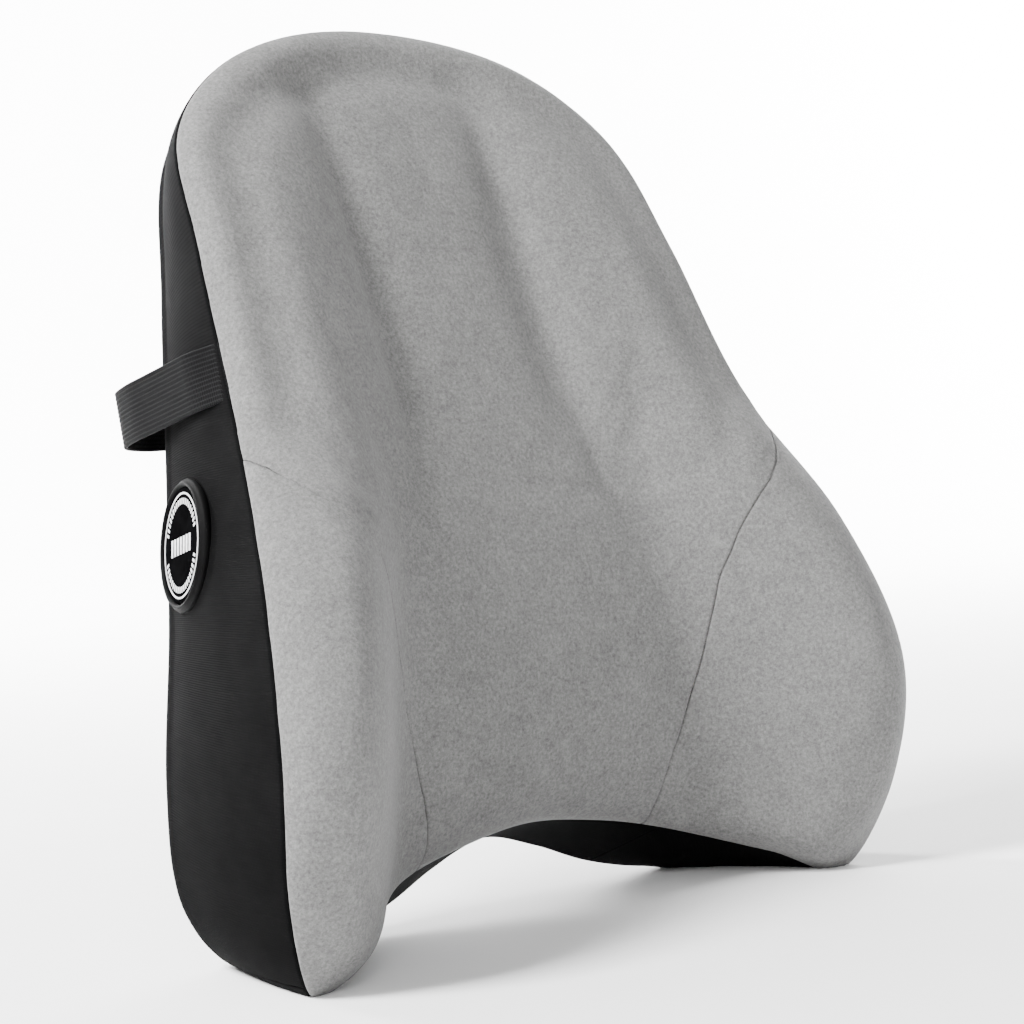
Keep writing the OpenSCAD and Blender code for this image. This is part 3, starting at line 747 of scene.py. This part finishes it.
def rows_of(name, path, outs, bead, spacing, finish):
    """Copies of bead along a path, made by geometry nodes: x along it, z outwards."""
    guide = bpy.data.meshes.new(name + "_path")
    guide.from_pydata([tuple(p) for p in path], [(k, k + 1) for k in range(len(path) - 1)], [])
    holder = bpy.data.objects.new(name, guide)
    bpy.context.collection.objects.link(holder)
    facing = guide.attributes.new("facing", "FLOAT_VECTOR", "POINT")
    facing.data.foreach_set("vector", np.array(outs, np.float32).ravel())
    t = bpy.data.node_groups.new(name + "_rows", "GeometryNodeTree")
    face = t.interface
    face.new_socket("Geometry", in_out="INPUT", socket_type="NodeSocketGeometry")
    face.new_socket("Spacing", in_out="INPUT", socket_type="NodeSocketFloat")
    face.new_socket("Bead", in_out="INPUT", socket_type="NodeSocketObject")
    face.new_socket("Finish", in_out="INPUT", socket_type="NodeSocketMaterial")
    face.new_socket("Geometry", in_out="OUTPUT", socket_type="NodeSocketGeometry")
    add = t.nodes.new
    start, done = add("NodeGroupInput"), add("NodeGroupOutput")
    curve, points = add("GeometryNodeMeshToCurve"), add("GeometryNodeCurveToPoints")
    stand, info = add("GeometryNodeInstanceOnPoints"), add("GeometryNodeObjectInfo")
    along, outward = add("FunctionNodeAlignRotationToVector"), add("FunctionNodeAlignRotationToVector")
    named = add("GeometryNodeInputNamedAttribute")
    real, dress = add("GeometryNodeRealizeInstances"), add("GeometryNodeSetMaterial")
    points.mode = "LENGTH"
    named.data_type = "FLOAT_VECTOR"
    named.inputs["Name"].default_value = "facing"
    along.axis, outward.axis, outward.pivot_axis = "X", "Z", "X"
    link = t.links.new
    link(start.outputs["Geometry"], curve.inputs["Mesh"])
    link(curve.outputs["Curve"], points.inputs["Curve"])
    link(start.outputs["Spacing"], points.inputs["Length"])
    link(points.outputs["Points"], stand.inputs["Points"])
    link(points.outputs["Tangent"], along.inputs["Vector"])
    link(along.outputs["Rotation"], outward.inputs["Rotation"])
    link(named.outputs["Attribute"], outward.inputs["Vector"])
    link(outward.outputs["Rotation"], stand.inputs["Rotation"])
    link(start.outputs["Bead"], info.inputs["Object"])
    link(info.outputs["Geometry"], stand.inputs["Instance"])
    link(stand.outputs["Instances"], real.inputs["Geometry"])
    link(real.outputs["Geometry"], dress.inputs["Geometry"])
    link(start.outputs["Finish"], dress.inputs["Material"])
    link(dress.outputs["Geometry"], done.inputs["Geometry"])
    mod = holder.modifiers.new("rows", "NODES")
    mod.node_group = t
    ids = {s.name: s.identifier for s in face.items_tree if s.in_out == "INPUT"}
    mod[ids["Spacing"]], mod[ids["Bead"]], mod[ids["Finish"]] = spacing, bead, finish
    bpy.context.view_layer.update()
    mesh = bpy.data.meshes.new_from_object(holder.evaluated_get(bpy.context.evaluated_depsgraph_get()))
    bpy.data.objects.remove(holder)
    mesh.name = name
    o = bpy.data.objects.new(name, mesh)
    bpy.context.collection.objects.link(o)
    return o


def small_block(name, size, bevel=0.25):
    """A small rounded block, centred on its base, used for teeth and stitches."""
    b = bmesh.new()
    bmesh.ops.create_cube(b, size=1)
    for v in b.verts:
        v.co = Vector((v.co.x * size[0], v.co.y * size[1], (v.co.z + 0.5) * size[2]))
    bmesh.ops.bevel(b, geom=list(b.edges), offset=min(size) * bevel, segments=1, affect="EDGES", profile=0.5)
    mesh = bpy.data.meshes.new(name)
    b.to_mesh(mesh)
    b.free()
    mesh.shade_smooth()
    return bpy.data.objects.new(name, mesh)


OUT_OF_BACK = np.array([0, math.cos(LEAN), -math.sin(LEAN)])
zip_plastic = moulded("zip_nylon", (0.008, 0.008, 0.009), (0.014, 0.014, 0.015), 0.32)
tape_cloth = woven_tape()
tooth = small_block("tooth", (0.0011, 0.0030, 0.0013))
for side, name in ((1, "upper"), (-1, "lower")):
    o = softened(f"zip_tape_{name}", 0.0002, tape_cloth, "cushion", 1)
    xs = np.linspace(-0.108, 0.108, 12) + (0.0004 if side > 0 else -0.0004)
    line = on_back(xs, -0.00025, ZIP_UP + side * 0.0020)
    teeth = rows_of(f"zip_teeth_{name}", line, np.tile(OUT_OF_BACK, (12, 1)), tooth, 0.0017, zip_plastic)
    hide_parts(f"zip_coil_{name}")
    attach(teeth, "cushion")
softened("zip_end_stops", 0.0003, zip_plastic, "cushion")
softened("zip_slider", 0.00035, zip_plastic, "zip_slider")
softened("zip_pull", 0.0004, zip_plastic, "zip_pull")

thread_black = moulded("black_thread", (0.02, 0.02, 0.021), (0.035, 0.035, 0.036), 0.5)
stitch = small_block("stitch", (0.0024, 0.0005, 0.00035), 0.4)
for k, side in enumerate((-1, 1)):
    reach, up = ZIP_LONG / 2 + 0.002, ZIP_UP + (ZIP_SLOT / 2 + 0.0045) * side
    path = on_back(np.linspace(side * reach, -side * reach, 20), 0.00035, up)
    row = rows_of(f"zip_stitches_{k}", path, np.tile(OUT_OF_BACK, (20, 1)), stitch, 0.0034, thread_black)
    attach(row, "cushion")


# ---------------------------------------------------------------------- strap
# Ribbed elastic webbing, 26 mm wide, sewn into the front seams at the waist.
# Each half runs back round the side, bows out behind the back and ends round
# a bar of the buckle; the left half doubles back through the adjuster.

STRAP_UP, STRAP_W, STRAP_T = 0.247, 0.026, 0.0018
RIBS, RIB_DEEP = 13, 0.00035
WEB_OUT = 0.0449
BAR_R = 0.0016
WRAP_R = BAR_R + 0.00015 + STRAP_T / 2
SOCKET_BAR, PLUG_BAR, ADJUSTER_X = -0.0364, 0.019, -0.078
BAR_OUT = WEB_OUT + WRAP_R
CENTRE_BAR_OUT = WEB_OUT + STRAP_T / 2 + 0.0003 + STRAP_T + 0.00015 + BAR_R
STRAP_SIDE = np.array([
    [0.1466, -0.073], [0.1456, -0.058], [0.143, -0.042], [0.1404, -0.024], [0.138, -0.006],
    [0.135, 0.014], [0.128, 0.0325], [0.112, 0.0424], [0.1, WEB_OUT - 0.0004],
])


def elastic():
    m, t, shader = material("ribbed_elastic", Specular_IOR_Level=0.03, Roughness=0.75)
    parts = t.nodes.new("ShaderNodeSeparateXYZ")
    t.links.new(place_of(t, uv=True), parts.inputs[0])
    slant = mixed(t, (parts.outputs["X"], 2 * math.pi / 0.0011), (parts.outputs["Y"], 2 * math.pi / 0.002))
    picks = maths(t, "ADD", maths(t, "MULTIPLY", maths(t, "SINE", slant), 0.5), 0.5)
    rib = maths(t, "MULTIPLY", parts.outputs["Y"], math.pi / 0.002)
    rib = maths(t, "ABSOLUTE", maths(t, "SINE", rib))
    blacks = [(0.1, (0.001, 0.001, 0.0011)), (0.9, (0.006, 0.006, 0.0063))]
    t.links.new(ramp(t, mixed(t, (rib, 0.7), (picks, 0.3)), blacks), shader.inputs["Base Color"])
    t.links.new(bump(t, picks, 0.5, 0.0003), shader.inputs["Normal"])
    return m


ribbed_elastic = elastic()


def smooth_line(pts, per):
    pts = np.asarray(pts, float)
    n = len(pts)
    out = []
    for i in range(n - 1):
        a, b, c, d = (pts[min(max(i + k, 0), n - 1)] for k in (-1, 0, 1, 2))
        out += [smooth_between(a, b, c, d, j / per) for j in range(per)]
    return np.array(out + [pts[-1]])


def bar_turn(x, out, side):
    a = np.radians(np.arange(0, 181, 15))
    return np.stack([x + side * WRAP_R * np.sin(a), out - WRAP_R * np.cos(a)], axis=1)


def webbing(name, plan, body_side, sewn_start):
    """The strap along its plan line, x across and out from the back, ribbed on both faces."""
    step = np.linalg.norm(np.diff(plan, axis=0), axis=1)
    along = np.concatenate([[0], np.cumsum(step)])
    keep = np.concatenate([[True], step > 1e-7])
    plan, along = plan[keep], along[keep]
    tangent = np.gradient(plan, along, axis=0)
    tangent /= np.linalg.norm(tangent, axis=1, keepdims=True)
    side = np.stack([-tangent[:, 1], tangent[:, 0]], axis=1) * body_side
    a = np.linspace(-1, 1, RIBS * 6 + 1)
    height = STRAP_T / 2 - RIB_DEEP + RIB_DEEP * np.abs(np.sin((a + 1) / 2 * RIBS * np.pi)) ** 0.7
    height[0] = height[-1] = STRAP_T / 2 - 0.0006
    loop_a = np.concatenate([a, a[::-1]])
    loop_h = np.concatenate([height, -height[::-1]])
    up = STRAP_UP + loop_a * STRAP_W / 2
    ring = len(loop_a)
    p = np.empty((len(plan), ring, 3))
    for k in range(len(plan)):
        xy = plan[k][None] + side[k][None] * loop_h[:, None]
        p[k] = on_back(xy[:, 0], xy[:, 1], up)
    if sewn_start:
        us = np.linspace(2.2, 5, 400)
        seam = form(us, 1.0)
        seam_up = (seam[:, 1] - STAND_Y) * math.sin(LEAN) + seam[:, 2] * math.cos(LEAN)
        order = np.argsort(seam_up)
        hold = np.stack([np.interp(up, seam_up[order], seam[order, c]) for c in range(3)], axis=1)
        hold[:, 0] = (hold[:, 0] - 0.0012) * np.sign(plan[0, 0])
        first = on_back(np.full(ring, plan[0, 0]), plan[0, 1], up)
        fade = 1 - ease(0.0, 0.028, along)
        p += fade[:, None, None] * (hold - first)[None]
    n = len(plan)
    faces = [list(f) for f in grid_faces(n, ring, closed=True)]
    faces += [list(range(ring)), list(range((n - 1) * ring, n * ring))[::-1]]
    o = new_object(name, p.reshape(-1, 3), faces)
    b = bmesh.new()
    b.from_mesh(o.data)
    bmesh.ops.recalc_face_normals(b, faces=b.faces)
    b.to_mesh(o.data)
    b.free()
    o.data.shade_smooth()
    uv = o.data.uv_layers.new(name="web")
    for loop in o.data.loops:
        k, c = divmod(loop.vertex_index, ring)
        uv.data[loop.index].uv = (along[k], loop_a[c] * STRAP_W / 2)
    paint(o, ribbed_elastic)
    return o


def dense(line, gap=0.0016):
    line = np.asarray(line, float)
    out = [line[:1]]
    for a, b in zip(line[:-1], line[1:]):
        n = max(1, int(round(np.linalg.norm(b - a) / gap)))
        out.append(a + (b - a) * (np.arange(1, n + 1) / n)[:, None])
    return np.vstack(out)


side_line = smooth_line(STRAP_SIDE, 8)
left_side = side_line * [-1, 1]
over_bar, under_bar = CENTRE_BAR_OUT + WRAP_R, CENTRE_BAR_OUT - WRAP_R
doubled = WEB_OUT + 2 * WRAP_R
to_socket = dense(np.vstack([left_side, [[ADJUSTER_X, WEB_OUT], [SOCKET_BAR, WEB_OUT]]]))
turned = bar_turn(SOCKET_BAR, BAR_OUT, 1)
strap_left = webbing("strap_left_web", np.vstack([to_socket, turned[1:]]), 1, True)
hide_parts("strap_left")
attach(strap_left, "cushion")

centre_turn = np.radians(np.arange(165, -1, -15))
tail_plan = np.vstack([
    dense([
        [SOCKET_BAR, doubled], [SOCKET_BAR - 0.006, doubled], [ADJUSTER_X + 0.014, over_bar - 0.0004],
        [ADJUSTER_X + 0.008, over_bar], [ADJUSTER_X, over_bar],
    ]),
    np.stack([
        ADJUSTER_X - WRAP_R * np.sin(centre_turn), CENTRE_BAR_OUT - WRAP_R * np.cos(centre_turn),
    ], axis=1),
    dense([[ADJUSTER_X, under_bar], [ADJUSTER_X + 0.012, under_bar]])[1:],
])
strap_tail = webbing("strap_left_tail", tail_plan, 1, False)
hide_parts("strap_left")
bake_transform(strap_tail)

sewn = WEB_OUT + STRAP_T + 0.0003
right_plan = np.vstack([
    dense(np.vstack([side_line, [[0.08, WEB_OUT], [PLUG_BAR + 0.006, WEB_OUT], [PLUG_BAR, WEB_OUT]]])),
    bar_turn(PLUG_BAR, BAR_OUT, -1)[1:],
    dense([
        [PLUG_BAR, doubled], [PLUG_BAR + 0.007, doubled - 0.0006], [PLUG_BAR + 0.014, sewn + 0.0008],
        [PLUG_BAR + 0.02, sewn], [PLUG_BAR + 0.034, sewn],
    ])[1:],
])
strap_right = webbing("strap_right_web", right_plan, -1, True)
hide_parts("strap_right")
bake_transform(strap_right)


# --------------------------------------------------------- buckle and adjuster
# A side-release buckle and a three-bar slide, both moulded in black acetal.
# The plug's two prongs are pressed in through the socket's side windows.

acetal = moulded("black_acetal", (0.003, 0.003, 0.0032), (0.007, 0.007, 0.0073), 0.32)
softened("strap_adjuster", 0.0006, acetal, "strap_adjuster", 3)
softened("buckle_socket", 0.0008, acetal, "cushion", 3)
softened("buckle_plug", 0.0008, acetal, "buckle_plug", 3)
softened("buckle_prong_upper", 0.0005, acetal, "prong_upper")
softened("buckle_prong_lower", 0.0005, acetal, "prong_lower")


# ---------------------------------------------------------------------- badge
# A round moulded badge on the left side band: a dull raised rim, a polished
# black disc inside it, a thin bright ring and a ring of plain printed marks.

BADGE_RADIUS, RIM_W = 0.029, 0.0035
BADGE_U, BADGE_R = 19.42, 1.75


def badge_frame():
    p = form(BADGE_U, BADGE_R)
    du = form(BADGE_U + 0.02, BADGE_R) - form(BADGE_U - 0.02, BADGE_R)
    dr = form(BADGE_U, BADGE_R + 0.01) - form(BADGE_U, BADGE_R - 0.01)
    out = np.cross(du, dr)
    out /= np.linalg.norm(out)
    up = np.array([0, math.sin(LEAN), math.cos(LEAN)])
    up -= out * (out @ up)
    up /= np.linalg.norm(up)
    across = np.cross(up, out)
    m = np.eye(4)
    m[:3, 0], m[:3, 1], m[:3, 2] = across, up, out
    m[:3, 3] = p + out * 0.0012
    return Matrix(m.tolist())


def turned_ring(name, profile, finish, steps=96):
    """A closed profile of (radius, height) spun round the badge's middle."""
    a = np.arange(steps) * 2 * np.pi / steps
    verts = [(r * math.cos(t), r * math.sin(t), h) for t in a for r, h in profile]
    n = len(profile)
    faces = [
        (i * n + j, ((i + 1) % steps) * n + j, ((i + 1) % steps) * n + (j + 1) % n, i * n + (j + 1) % n)
        for i in range(steps) for j in range(n)
    ]
    o = new_object(name, verts, faces)
    b = bmesh.new()
    b.from_mesh(o.data)
    bmesh.ops.remove_doubles(b, verts=b.verts, dist=1e-7)
    bmesh.ops.recalc_face_normals(b, faces=b.faces)
    b.to_mesh(o.data)
    b.free()
    o.data.transform(BADGE)
    o.data.shade_smooth()
    paint(o, finish)
    return o


BADGE = badge_frame()
rim_plastic = moulded("dull_rim", (0.001, 0.001, 0.0011), (0.003, 0.003, 0.0031), 0.5, 0.04)


def polished():
    m, t, shader = material("polished_disc", Specular_IOR_Level=0.0)
    haze = noise(t, place_of(t), 120, 3.0)
    blacks = [(0.3, (0.0012, 0.0012, 0.0013)), (0.7, (0.0025, 0.0025, 0.0027))]
    t.links.new(ramp(t, haze, blacks), shader.inputs["Base Color"])
    t.links.new(maths(t, "ADD", maths(t, "MULTIPLY", haze, 0.1), 0.12), shader.inputs["Roughness"])
    return m


def printed():
    m, t, shader = material("silver_print", Specular_IOR_Level=0.5)
    worn = noise(t, place_of(t), 700, 3.0)
    silvers = [(0.25, (0.45, 0.45, 0.46)), (0.6, (0.75, 0.75, 0.76))]
    t.links.new(ramp(t, worn, silvers), shader.inputs["Base Color"])
    t.links.new(maths(t, "ADD", maths(t, "MULTIPLY", worn, 0.3), 0.25), shader.inputs["Roughness"])
    return m


silver = printed()
rim_in = BADGE_RADIUS - RIM_W
rim = turned_ring("badge_rim_ring", [
    (BADGE_RADIUS, -0.002), (BADGE_RADIUS, 0.0004), (BADGE_RADIUS - 0.0005, 0.0013),
    (BADGE_RADIUS - 0.0013, 0.0016), (BADGE_RADIUS - 0.0016, 0.0024), (BADGE_RADIUS - 0.0022, 0.003),
    (BADGE_RADIUS - 0.0029, 0.0028), (rim_in, 0.0018), (rim_in, -0.002),
], rim_plastic)
disc = turned_ring("badge_polished_disc", [
    (0, -0.002), (0, 0.0020), (0.01, 0.00198), (0.02, 0.00192), (rim_in - 0.0008, 0.0018),
    (rim_in - 0.0002, 0.0014), (rim_in - 0.0002, -0.002),
], polished())
line_out, line_in = BADGE_RADIUS - 0.0060, BADGE_RADIUS - 0.0068
bright = turned_ring("badge_bright_ring", [
    (line_in, 0.0018), (line_in, 0.00205), (line_out, 0.00205), (line_out, 0.0018),
], silver)
for o, node in ((rim, "badge_rim"), (disc, "badge_disc"), (bright, "badge_ring")):
    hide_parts(node)
    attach(o, "cushion")

mark = small_block("mark", (0.0012, 0.0026, 0.00022), 0.2)
marks_r = BADGE_RADIUS - 0.0098
for first, last, name in ((20, 160, "top"), (200, 340, "foot")):
    a = np.radians(np.linspace(first, last, 60))
    pts = [BADGE @ Vector((marks_r * math.cos(t), marks_r * math.sin(t), 0.0019)) for t in a]
    marks = rows_of(f"badge_marks_{name}", pts, np.tile(BADGE.col[2][:3], (60, 1)), mark, 0.0024, silver)
    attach(marks, "cushion")
bars = small_block("bars", (0.0022, 0.0075, 0.00022), 0.2)
line = [BADGE @ Vector((x, 0, 0.00195)) for x in np.linspace(-0.0118, 0.0118, 9)]
marks = rows_of("badge_marks_middle", line, np.tile(BADGE.col[2][:3], (9, 1)), bars, 0.0036, silver)
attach(marks, "cushion")


# ----------------------------------------------------- floor, light and camera
# A pale sweep under soft studio lamps: one broad lamp above and to the left of
# the front, a weaker one at the right, and light on the backdrop.

AZIMUTH = math.radians(40.76)


def sweep():
    """A floor that curves up into a wall, square to the camera."""
    bend = np.radians(np.linspace(5, 90, 18))
    y = np.concatenate([np.linspace(-4, 2.2, 20), 2.2 + 1.6 * np.sin(bend)])
    z = np.concatenate([np.zeros(20), 1.6 * (1 - np.cos(bend))])
    y, z = np.append(y, y[-1]), np.append(z, 5.0)
    xs = np.linspace(-7, 7, 30)
    c, s = math.cos(-AZIMUTH), math.sin(-AZIMUTH)
    verts = [(x * c - a * s, x * s + a * c, b) for a, b in zip(y, z) for x in xs]
    return new_object("pale_sweep", verts, grid_faces(len(y), len(xs)))


def pale_paper():
    m, t, shader = material("pale_paper", Roughness=0.9, Specular_IOR_Level=0.1)
    fibre = noise(t, place_of(t), 6, 3.0)
    pales = [(0.3, (0.93, 0.93, 0.93)), (0.7, (0.95, 0.95, 0.95))]
    t.links.new(ramp(t, fibre, pales), shader.inputs["Base Color"])
    return m


floor = sweep()
paint(floor, pale_paper())


def lamp(name, at, to, size, power):
    d = bpy.data.lights.new(name, "AREA")
    d.shape, d.size, d.energy = "SQUARE", size, power
    o = bpy.data.objects.new(name, d)
    bpy.context.collection.objects.link(o)
    o.location = at
    o.rotation_euler = (Vector(to) - Vector(at)).to_track_quat("-Z", "Y").to_euler()


lamp("broad_top", (-1.4, 0.1, 1.6), (0, 0, 0.25), 0.6, 150)
lamp("front_fill", (-1.2, -1.9, 1.5), (0, 0, 0.2), 1.2, 25)
lamp("backdrop_left", (-0.6, 2.6, 1.6), (2.4, 2.9, 1.0), 1.2, 700)
lamp("backdrop_right", (2.6, 0.2, 1.6), (2.9, 2.4, 1.0), 1.2, 700)
world = bpy.data.worlds.new("studio")
bpy.context.scene.world = world
world.use_nodes = True
sky = world.node_tree.nodes["Background"].inputs
sky["Color"].default_value, sky["Strength"].default_value = (1, 1, 1, 1), 0.6

ELEVATION, ROLL, AWAY = math.radians(2.57), math.radians(-3.97), 1.2418
level = math.cos(ELEVATION)
ahead = Vector((math.sin(AZIMUTH) * level, math.cos(AZIMUTH) * level, -math.sin(ELEVATION)))
right = Vector((math.cos(AZIMUTH), -math.sin(AZIMUTH), 0))
above = right.cross(ahead)
across = right * math.cos(ROLL) + above * math.sin(ROLL)
upward = above * math.cos(ROLL) - right * math.sin(ROLL)
target = Vector((0.0146, -0.0267 + STAND_Y, 0.1836))
eye = bpy.data.cameras.new("camera")
eye.lens, eye.sensor_width = 94.57, 36
eye.clip_start, eye.clip_end = 0.05, 40
camera = bpy.data.objects.new("camera", eye)
bpy.context.collection.objects.link(camera)
pose = Matrix.Identity(4)
for k, axis in enumerate((across, upward, -ahead)):
    pose.col[k][:3] = axis
pose.col[3][:3] = target - ahead * AWAY
camera.matrix_world = pose
bpy.context.scene.camera = camera
